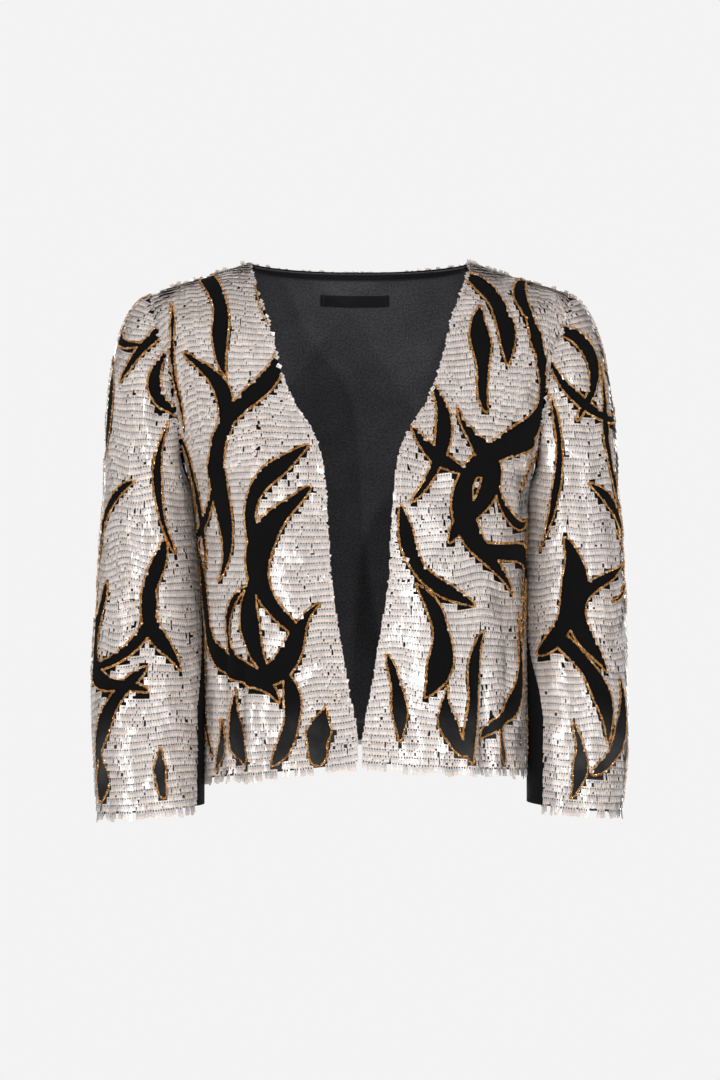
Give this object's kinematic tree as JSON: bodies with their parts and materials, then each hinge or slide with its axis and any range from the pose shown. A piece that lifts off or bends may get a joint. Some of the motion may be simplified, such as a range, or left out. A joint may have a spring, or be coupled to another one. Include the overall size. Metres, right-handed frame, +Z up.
{
  "type": "cropped evening blazer",
  "caption": "Cropped collarless evening blazer with an open front, three-quarter set-in sleeves and overlapping sequin cloth, in its worn hollow form.",
  "frame": {"origin": "midway between the inner ends of the two shoulder seams, where the wearer's shoulders carry the garment", "axes": "+Z up, +Y from the front of the garment to its back, +X towards the wearer's left; the front faces -Y"},
  "size_m": [0.4997, 0.2248, 0.51],
  "materials": {
    "sequin_cloth": "ivory pearl sequins in rows on black cloth",
    "plain_cloth": "plain matt black",
    "lining": "charcoal woven lining",
    "binding": "black, slightly shiny",
    "label": "bare black woven satin"
  },
  "bodies": {
    "root": {"front_right": "sequin_cloth", "front_left": "sequin_cloth", "back": "sequin_cloth", "sleeve_right_top": "sequin_cloth", "sleeve_left_top": "sequin_cloth", "sleeve_right_under": "plain_cloth", "sleeve_left_under": "plain_cloth", "lining_back": "lining", "neck_binding": "binding", "label": "label"}
  },
  "joints": []
}
